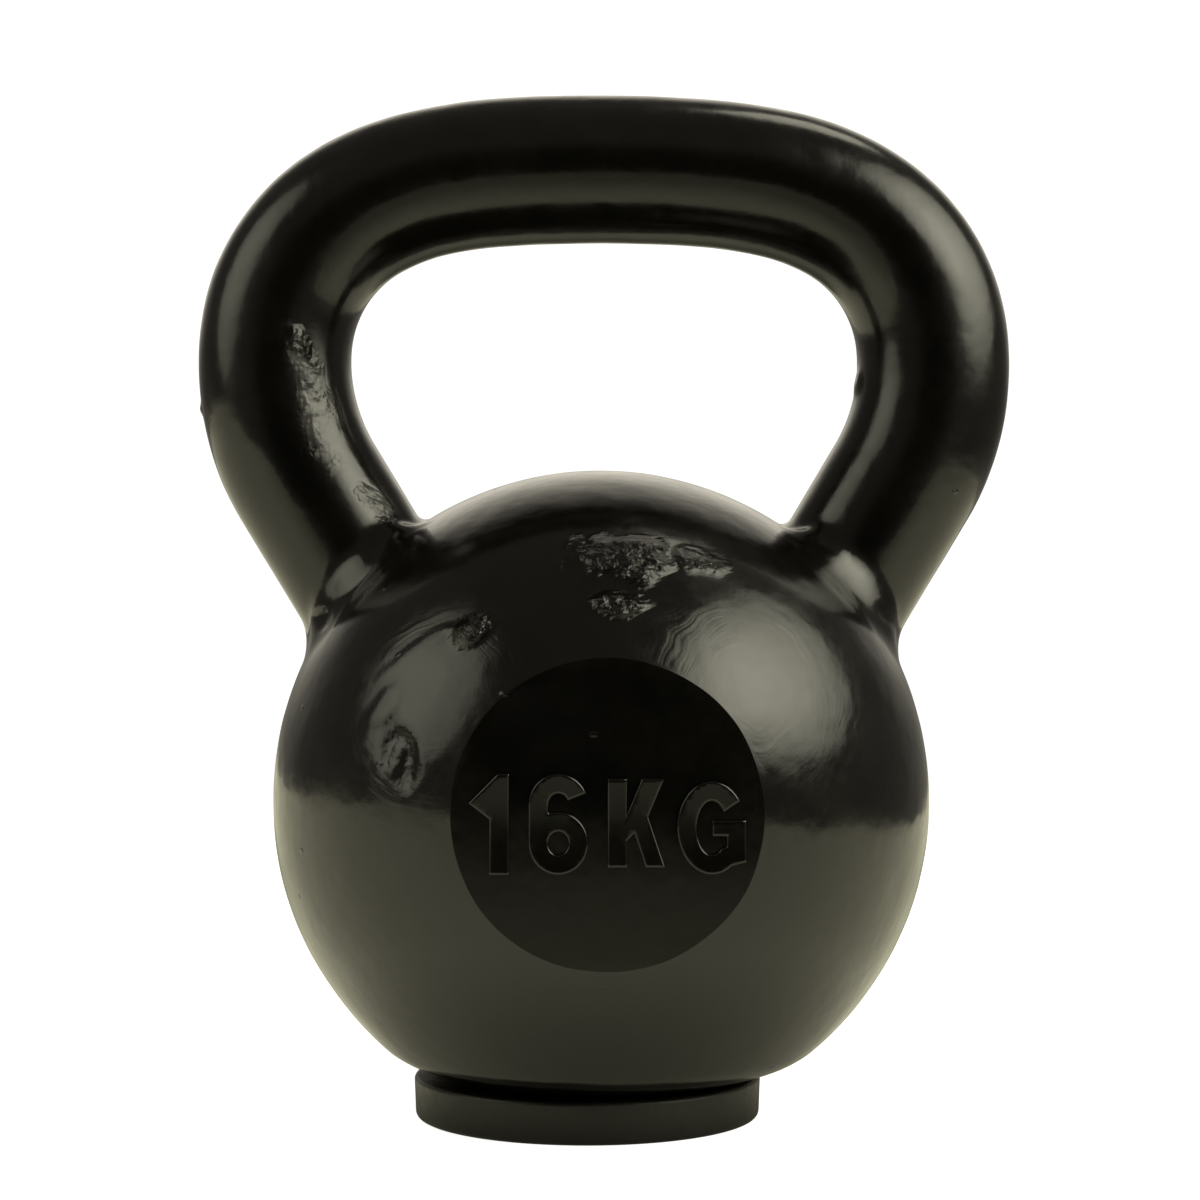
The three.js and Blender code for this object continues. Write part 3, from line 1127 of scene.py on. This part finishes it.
@dataclass
class WeightMark:
    """The raised mark on the front flat, in plain block characters made for it."""

    stroke: float = 4.2
    relief: float = 1.4
    sunk: float = 0.3
    dishing: float = 0.42
    softness: float = 0.5
    edge_steps: int = 3
    baseline: float = -12.4
    middle: float = -2.1
    band: float = 0.8
    bands: int = 14
    column: float = 1.4
    columns: int = 20
    lean: float = 0.06
    lean_length: float = 9.0
    flat_offset: float = FLAT_DISTANCE
    ball_height: float = BALL_HEIGHT

    @staticmethod
    def arc(centre: Span, radii: Span, start: float, end: float, steps: int) -> Outline:
        """Points along an ellipse.

        Args:
            centre: The ellipse's centre.
            radii: Its radii along x and y.
            start: First angle in degrees, anticlockwise from +x.
            end: Last angle in degrees.
            steps: Segments between them.

        Returns:
            The points.
        """
        angles = [math.radians(start + (end - start) * k / steps) for k in range(steps + 1)]
        return [
            (centre[0] + radii[0] * math.cos(a), centre[1] + radii[1] * math.sin(a)) for a in angles
        ]

    def glyphs(self) -> tuple[Glyph, ...]:
        """The four characters, from left to right."""
        bold = self.stroke
        one = [(4.4, 0), (8.6, 0), (8.6, 21.2), (6.2, 21.2), (0, 15), (4.4, 11.6)]
        centre, radii = (6.3, 6.6), (6.3, 6.6)
        inner = (radii[0] - bold, radii[1] - bold)
        six_outer = (
            self.arc((6.3, 14.6), radii, 22, 180, 16)
            + self.arc(centre, radii, 180, 468, 30)
            + [(bold, 13.4)]
            + self.arc((6.3, 14.6), inner, 180, 22, 10)
        )
        six_bowl = self.arc(centre, inner, 0, 345, 23)
        kay = [
            (0, 0), (bold, 0), (bold, 5.6), (5.6, 7.0), (8, 0), (12.2, 0), (8.6, 10.6),
            (12, 18.6), (7.2, 18.6), (bold, 11.6), (bold, 18.6), (0, 18.6),
        ]  # fmt: skip
        gee_centre, gee_radii = (7.3, 9.8), (7.3, 9.8)
        gee_inner = (gee_radii[0] - bold, gee_radii[1] - bold)
        gee = (
            self.arc(gee_centre, gee_radii, 35, 305, 30)
            + [(14.6, 2.6), (14.6, 11.4), (7.4, 11.4), (7.4, 8), (10.4, 8), (10.4, 5.9)]
            + self.arc(gee_centre, gee_inner, 310, 35, 24)
        )
        return (
            Glyph((one,), 8.6, 4.0, 0.0),
            Glyph((six_outer, six_bowl), 12.6, 4.0, 0.0),
            Glyph((kay,), 12.2, 2.4, 1.5),
            Glyph((gee,), 14.6, 0.0, 0.0),
        )

    def raise_glyph(self, glyph: Glyph, left: float) -> BMesh:
        """Builds one character with soft edges and a face that sinks a little in the middle.

        Args:
            glyph: The character.
            left: Where it starts along X, in millimetres.

        Returns:
            Its bmesh, lying in the XY plane with its top towards +Z, in metres.
        """
        rise = self.relief + self.sunk
        curve = bpy.data.curves.new("glyph", "CURVE")
        curve.dimensions = "2D"
        curve.fill_mode = "BOTH"
        curve.bevel_depth = self.softness * MM
        curve.bevel_resolution = self.edge_steps
        curve.offset = -self.softness * MM
        curve.extrude = (rise / 2.0 - self.softness) * MM
        for outline in glyph.outlines:
            spline = curve.splines.new("POLY")
            spline.points.add(len(outline) - 1)
            spline.use_cyclic_u = True
            for point, (x, y) in zip(spline.points, outline):
                place = ((left + x) * MM, (self.baseline + glyph.lift + y) * MM, 0.0, 1.0)
                point.co = place
        holder = bpy.data.objects.new("glyph", curve)
        bpy.context.scene.collection.objects.link(holder)
        graph = bpy.context.evaluated_depsgraph_get()
        solid = bpy.data.meshes.new_from_object(holder.evaluated_get(graph))
        bm = bmesh.new()
        bm.from_mesh(solid)
        bpy.data.objects.remove(holder)
        bpy.data.curves.remove(curve)
        bpy.data.meshes.remove(solid)
        bmesh.ops.remove_doubles(bm, verts=bm.verts, dist=MERGE_DISTANCE)
        bmesh.ops.translate(bm, vec=(0.0, 0.0, rise / 2.0 * MM), verts=bm.verts)
        self.dish(bm, rise)
        return bm

    def dish(self, bm: BMesh, rise: float) -> None:
        """Slices a character into bands and sinks the middle of its face.

        Args:
            bm: The character, lying in the XY plane.
            rise: Its height in millimetres.
        """
        levels = (self.middle + step * self.band for step in range(-self.bands, self.bands + 1))
        sides = (step * self.column for step in range(-self.columns, self.columns + 1))
        cuts = [((0.0, y, 0.0), (0.0, 1.0, 0.0)) for y in levels]
        cuts += [((x, 0.0, 0.0), (1.0, 0.0, 0.0)) for x in sides]
        for place, facing in cuts:
            bmesh.ops.bisect_plane(
                bm,
                geom=everything(bm),
                dist=CUT_TOLERANCE,
                plane_co=Vector(place) * MM,
                plane_no=facing,
            )
        for vert in bm.verts:
            if vert.co.z > rise * 0.5 * MM:
                away = (vert.co.y / MM - self.middle) / 10.0
                lean = noise.noise(vert.co / MM / self.lean_length) * self.lean
                vert.co.z += (self.dishing * (away * away - 0.5) + lean) * MM

    def build(self) -> bpy.types.Object:
        """Makes the whole mark on the front flat.

        Returns:
            The mark, in the frame's own place.
        """
        whole = bmesh.new()
        glyphs = self.glyphs()
        left = -sum(glyph.width + glyph.gap for glyph in glyphs) / 2.0
        for glyph in glyphs:
            bm = self.raise_glyph(glyph, left)
            part = bpy.data.meshes.new("glyph")
            bm.to_mesh(part)
            bm.free()
            whole.from_mesh(part)
            bpy.data.meshes.remove(part)
            left += glyph.width + glyph.gap
        stand = Matrix.Translation(
            (0.0, -(self.flat_offset - self.sunk) * MM, self.ball_height * MM)
        ) @ Matrix.Rotation(math.pi / 2.0, 4, "X")
        bmesh.ops.transform(whole, matrix=stand, verts=whole.verts)
        return make_object("weight_mark", whole, 50.0)


# ---- the foot and its fixing --------------------------------------------------------------------
@dataclass
class RubberFoot:
    """The round rubber foot with its pocket for the screw head."""

    radius: float = 41.0
    thickness: float = 9.8
    taper: float = 0.4
    lower_edge: float = 1.4
    upper_edge: float = 1.0
    pocket_edge: float = 0.5
    pocket_corner: float = 0.4
    tread: float = 7.0
    pocket_radius: float = 11.0
    pocket_depth: float = 6.8
    hole_radius: float = SCREW_HOLE
    axis_x: float = FOOT_X
    steps: int = 192

    def build(self) -> bpy.types.Object:
        """Makes the foot.

        Returns:
            The foot, in the frame's own place.
        """
        side = self.radius - self.taper
        corners = (
            (self.hole_radius, self.pocket_depth, 0.0),
            (self.pocket_radius, self.pocket_depth, self.pocket_corner),
            (self.pocket_radius, 0.0, self.pocket_edge),
            (side - self.tread, 0.0, 0.0),
            (side, 0.0, self.lower_edge),
            (self.radius, self.thickness, self.upper_edge),
            (self.hole_radius, self.thickness, 0.0),
        )
        profile = rounded(corners)
        bm = bmesh.new()
        turn_profile(bm, profile + [profile[0]], self.axis_x, self.steps)
        return make_object("moulded_foot", bm, 40.0)


@dataclass
class FootFixing:
    """The washer and the button head screw that hold the foot."""

    axis_x: float = FOOT_X
    washer_radius: float = 10.0
    washer_hole: float = SCREW_HOLE
    washer_bottom: float = 5.1
    washer_top: float = 6.7
    washer_edge: float = 0.3
    washer_hole_edge: float = 0.15
    head_radius: float = 7.0
    head_bottom: float = 0.6
    head_top: float = 5.0
    head_rim: float = 0.5
    head_edge: float = 0.15
    crown_radius: float = 3.85
    socket_across: float = 5.0
    socket_depth: float = 2.6
    socket_point: float = 0.5
    shank_radius: float = 4.0
    shank_top: float = 23.0
    neck: float = 2.2
    chamfer: float = 0.8
    thread_pitch: float = 1.25
    thread_depth: float = 0.55
    thread_root: float = 0.15
    thread_crest: float = 0.2
    thread_foot: float = 0.84
    thread_steps: int = 28
    steps: int = 96

    def washer(self) -> bpy.types.Object:
        """Makes the washer.

        Returns:
            The washer, in the frame's own place.
        """
        low, high = self.washer_bottom, self.washer_top
        start = (self.washer_hole, (low + high) / 2.0, 0.0)
        corners = (
            start,
            (self.washer_hole, low, self.washer_hole_edge),
            (self.washer_radius, low, self.washer_edge),
            (self.washer_radius, high, self.washer_edge),
            (self.washer_hole, high, self.washer_hole_edge),
            start,
        )
        bm = bmesh.new()
        turn_profile(bm, rounded(corners), self.axis_x, self.steps)
        return make_object("plated_washer", bm, 35.0)

    def screw(self) -> bpy.types.Object:
        """Makes the screw, with its hexagon socket and its thread.

        Returns:
            The screw, in the frame's own place.
        """
        core = self.shank_radius - self.thread_depth
        wide, rim = self.head_radius - self.crown_radius, self.head_top - self.head_rim
        angles = [math.radians(degrees) for degrees in range(0, 91, 9)]
        dome = [
            (
                self.crown_radius + wide * math.sin(angle),
                rim - (rim - self.head_bottom) * math.cos(angle),
            )
            for angle in angles
        ]
        profile = dome + [
            (self.head_radius, self.head_top - self.head_edge),
            (self.head_radius - self.head_edge, self.head_top),
            (self.shank_radius, self.head_top),
            (self.shank_radius, self.head_top + self.neck),
            (core, self.head_top + self.neck + 0.6),
            (core, self.shank_top - self.chamfer),
            (core - self.chamfer, self.shank_top),
            (0.0, self.shank_top),
        ]
        bm = bmesh.new()
        turn_profile(bm, profile, self.axis_x, self.steps)
        self.add_socket(bm)
        self.add_thread(bm, core)
        return make_object("button_head_screw", bm, 35.0)

    def add_socket(self, bm: BMesh) -> None:
        """Closes the head's crown round a hexagon socket.

        Args:
            bm: The screw, open at its crown.
        """
        rim = [e for e in bm.edges if e.is_boundary]
        corner = self.socket_across / math.sqrt(3.0) * MM
        place = Matrix.Translation((self.axis_x * MM, 0.0, self.head_bottom * MM))
        _, mouth = add_circle(bm, 6, corner, place)
        bmesh.ops.triangle_fill(bm, use_beauty=True, edges=rim + mouth)
        sink_hole(bm, mouth, self.axis_x, ((self.socket_depth, 1.0), (self.socket_point, 0.1)))

    def add_thread(self, bm: BMesh, core: float) -> None:
        """Winds the thread's ridge up the shank.

        Args:
            bm: The screw.
            core: Radius of the shank under the thread, in millimetres.
        """
        start = self.head_top + self.neck + 1.0
        turns = int((self.shank_top - 2.0 * self.chamfer - start) / self.thread_pitch)
        foot, crest = self.thread_pitch * self.thread_foot / 2.0, self.thread_crest / 2.0
        corners = (
            (core - self.thread_root, start - foot),
            (self.shank_radius, start - crest),
            (self.shank_radius, start + crest),
            (core - self.thread_root, start + foot),
        )
        points = [Vector(((self.axis_x + r) * MM, 0.0, z * MM)) for r, z in corners]
        loop = edge_loop(bm, points)
        face = bmesh.ops.contextual_create(bm, geom=loop)["faces"]
        steps = turns * self.thread_steps
        bmesh.ops.spin(
            bm,
            geom=face,
            cent=(self.axis_x * MM, 0.0, 0.0),
            axis=(0.0, 0.0, 1.0),
            dvec=(0.0, 0.0, self.thread_pitch * turns / steps * MM),
            angle=2.0 * math.pi * turns,
            steps=steps,
            use_duplicate=False,
        )


# ---- the studio ---------------------------------------------------------------------------------
@dataclass(frozen=True)
class Softbox:
    """A soft light that faces the kettlebell, built of ovals so that it is brightest inside.

    The first oval has the whole size and the last one the heart's size and azimuth.
    """

    name: str
    azimuth: float
    elevation: float
    reach: float
    size: Span
    power: float
    heart: Span = (0.5, 0.5)
    heart_azimuth: float = 0.0
    heart_power: float = 0.0
    ovals: int = 1
    colour: Place = (1.0, 0.975, 0.77)

    def oval(self, number: int) -> tuple[float, Span, float]:
        """One of the ovals.

        Args:
            number: Which one, counted inwards from 0.

        Returns:
            Its azimuth in degrees, its size in metres and its power in watts.
        """
        if number == 0:
            return self.azimuth, self.size, self.power
        along = number / (self.ovals - 1)
        azimuth = self.azimuth + (self.heart_azimuth - self.azimuth) * along
        size = tuple(a + (b - a) * along for a, b in zip(self.size, self.heart))
        share = size[0] * size[1] / (self.heart[0] * self.heart[1]) / (self.ovals - 1)
        return azimuth, size, self.heart_power * share


@dataclass
class Studio:
    """Pale floor, soft lights, a bright wall behind, and the camera."""

    eye: Place = (-11.5, -588.0, 108.1)
    aim: Place = (-0.2, 0.0, 122.0)
    lens: float = 73.85
    floor_low: Span = (-3.0, -0.82)
    floor_high: Span = (0.62, 6.0)
    paper: Colour = (0.8, 0.8, 0.79, 1.0)
    paper_roughness: Span = (0.6, 0.75)
    paper_glow: float = 0.9
    floor_tint: Colour = (1.0, 0.96, 0.68, 1.0)
    # the floor's glow seen in reflections is dimmer near the camera's foot point than further away
    floor_far: float = 0.3
    floor_front: float = 0.85
    front_centre: Place = (0.0, -0.75, 0.0)
    front_span: Span = (0.32, 0.66)
    # painted shadow cast behind the kettlebell, seen only in reflections: the floor's glow drops to
    # this share in a squashed patch behind it
    painted_shadow_behind: float = 0.16
    painted_shadow_squash: Place = (1.0, 0.4, 1.0)
    painted_shadow_centre: Place = (0.0, 0.36, 0.0)
    painted_shadow_span: Span = (0.2, 0.36)
    # painted contact shadow round the foot, seen only in reflections: the floor's glow drops to
    # this share close to the kettlebell
    painted_contact_shadow: float = 0.1
    painted_contact_shadow_span: Span = (0.015, 0.12)
    room: float = 0.105
    room_front: float = 0.006
    room_span: Span = (-0.99, -0.8)
    room_tint: Colour = (1.0, 0.94, 0.79, 1.0)
    wall: float = 1.05
    wall_span: Span = (0.55, 0.9)
    wall_foot: float = 0.15
    wall_rise: Span = (0.04, 0.3)
    wall_side: float = 0.45
    wall_middle: Span = (0.3, 0.6)
    backdrop: float = 1.1
    light_centre: Place = (0.0, 0.0, 0.11)
    softboxes: tuple[Softbox, ...] = (
        Softbox("softbox_right", 68.0, 33.0, 1.2, (1.65, 1.15), 6.2, (0.34, 0.36), 58.0, 1.15, 6),
        Softbox("softbox_left", -74.0, 29.0, 1.3, (1.0, 1.15), 2.5, (0.4, 0.5), -74.0, 0.3, 4),
        Softbox("softbox_top", 129.0, 67.0, 1.11, (0.3, 0.45), 0.8),
    )

    def floor(self) -> bpy.types.Object:
        """Makes the pale floor, which is clear from below so that the underside can be seen.

        Returns:
            The floor.
        """
        bm = bmesh.new()
        bmesh.ops.create_grid(bm, x_segments=8, y_segments=8, size=0.5)
        low, high = self.floor_low, self.floor_high
        span = (high[0] - low[0], high[1] - low[1], 1.0)
        middle = ((low[0] + high[0]) / 2.0, (low[1] + high[1]) / 2.0, 0.0)
        bmesh.ops.scale(bm, vec=span, verts=bm.verts)
        bmesh.ops.translate(bm, vec=middle, verts=bm.verts)
        made = make_object("pale_floor", bm)
        if made.data.polygons[0].normal.z < 0.0:
            made.data.flip_normals()
        made.data.materials.append(self.floor_material())
        return made

    def floor_material(self) -> bpy.types.Material:
        """Builds the floor's paper. Reflections see it as a glow with painted shadow round the foot
        and behind the kettlebell, dimmer near the camera's foot point.

        Returns:
            The material: white to the camera, and clear from below.
        """
        material, sheet, place = new_material("pale_floor")
        paper = sheet.node(
            "BsdfPrincipled",
            Base_Color=self.paper,
            Roughness=sheet.span(clouds(sheet, place, 3.0), 0.0, 1.0, *self.paper_roughness),
            Emission_Color=(1.0, 1.0, 1.0, 1.0),
            Emission_Strength=self.paper_glow,
        )
        squashed = sheet.node("Mapping", Vector=place, Scale=self.painted_shadow_squash).outputs["Vector"]
        ahead = sheet.distance(place, self.front_centre)
        behind = sheet.distance(squashed, self.painted_shadow_centre)
        under = sheet.distance(place, (0.0, 0.0, 0.0))
        # painted light and shadow: the glow that reflections see stands in for the lit floor,
        # dimmed round the foot, behind the kettlebell and near the camera's foot point
        painted_floor_shading = sheet.maths(
            "MULTIPLY",
            sheet.span(ahead, *self.front_span, self.floor_far, self.floor_front),
            sheet.span(behind, *self.painted_shadow_span, self.painted_shadow_behind, 1.0),
            sheet.span(under, *self.painted_contact_shadow_span, self.painted_contact_shadow, 1.0),
        )
        mirrored = sheet.node("Emission", Color=self.floor_tint, Strength=painted_floor_shading)
        seen = sheet.node("LightPath").outputs["Is Camera Ray"]
        above = sheet.choose(seen, mirrored.outputs[0], paper.outputs[0])
        below = sheet.node("BsdfTransparent").outputs[0]
        backing = sheet.node("NewGeometry").outputs["Backfacing"]
        sheet.node("OutputMaterial", Surface=sheet.choose(backing, above, below))
        return material

    def world(self) -> None:
        """Sets the surroundings: a bright wall behind, a dim room, darkest in front."""
        world = bpy.data.worlds.new("studio")
        bpy.context.scene.world = world
        world.use_nodes = True
        sheet = NodeSheet(world.node_tree)
        direction = sheet.node("TexCoord").outputs["Generated"]
        axes = sheet.node("SeparateXYZ", Vector=direction).outputs
        aside = sheet.maths("ABSOLUTE", axes["X"], 0.0)
        wall = sheet.maths(
            "MULTIPLY",
            sheet.span(axes["Y"], *self.wall_span, 0.0, self.wall),
            sheet.span(axes["Z"], *self.wall_rise, self.wall_foot, 1.0),
            sheet.span(aside, *self.wall_middle, 1.0, self.wall_side),
        )
        room = sheet.span(axes["Y"], *self.room_span, self.room_front, self.room)
        strength = sheet.maths("ADD", room, wall)
        dim = sheet.node("Background", Color=self.room_tint, Strength=strength).outputs[0]
        white = sheet.node("Background", Color=(1.0, 1.0, 1.0, 1.0), Strength=self.backdrop)
        seen = sheet.node("LightPath").outputs["Is Camera Ray"]
        sheet.node("OutputWorld", Surface=sheet.choose(seen, dim, white.outputs[0]))

    def hang(self, box: Softbox, number: int) -> None:
        """Hangs one oval of a softbox.

        Args:
            box: The softbox.
            number: Which of its ovals.
        """
        turned, size, power = box.oval(number)
        azimuth, rise = math.radians(turned), math.radians(box.elevation)
        level = Vector((math.sin(azimuth), -math.cos(azimuth), 0.0)) * math.cos(rise)
        outward = level + Vector((0.0, 0.0, math.sin(rise)))
        data = bpy.data.lights.new(f"{box.name}_{number}", "AREA")
        data.shape = "ELLIPSE"
        data.size, data.size_y = size
        data.energy = power
        data.color = box.colour
        lamp = bpy.data.objects.new(data.name, data)
        lamp.location = Vector(self.light_centre) + outward * (box.reach - OVAL_GAP * number)
        lamp.rotation_euler = outward.to_track_quat("Z", "Y").to_euler()
        lamp.visible_camera = False
        bpy.context.scene.collection.objects.link(lamp)

    def camera(self) -> None:
        """Places the camera."""
        data = bpy.data.cameras.new("studio_camera")
        data.lens = self.lens
        made = bpy.data.objects.new("studio_camera", data)
        eye, aim = Vector(self.eye) * MM, Vector(self.aim) * MM
        made.location = eye
        made.rotation_euler = (aim - eye).to_track_quat("-Z", "Y").to_euler()
        bpy.context.scene.collection.objects.link(made)
        bpy.context.scene.camera = made

    def build(self) -> None:
        """Sets the whole studio up."""
        self.camera()
        self.world()
        for box in self.softboxes:
            for number in range(box.ovals):
                self.hang(box, number)
        self.floor()
        bpy.context.scene.view_settings.view_transform = "Standard"


# ---- putting it together ------------------------------------------------------------------------
def dress(
    made: bpy.types.Object, material: bpy.types.Material, node: str | None
) -> None:
    """Gives a piece its material and its place in the frame.

    Args:
        made: The piece.
        material: Its material.
        node: The CAD node it stands for, if any.
    """
    made.data.materials.clear()
    made.data.materials.append(material)
    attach(made, BODY)
    if node:
        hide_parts(node)
    faces = sum(len(p.vertices) - 2 for p in made.data.polygons)
    LOG.info("%s: %d triangles", made.name, faces)


def main() -> None:
    """Builds the kettlebell round its frame, then the studio."""
    logging.basicConfig(level=logging.INFO, format="%(name)s: %(message)s")
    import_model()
    enamel = GlossEnamel().material()
    dress(Casting().build(), enamel, "iron_casting")
    dress(WeightMark().build(), enamel, None)
    dress(RubberFoot().build(), MouldedRubber().material(), "rubber_foot")
    fixing = FootFixing()
    dress(fixing.washer(), ZincPlate("washer_zinc").material(), "foot_washer")
    darker = ZincPlate("screw_zinc", bright=(0.5, 0.51, 0.53, 1.0))
    dress(fixing.screw(), darker.material(), "foot_screw")
    Studio().build()


if __name__ == "__main__":
    main()
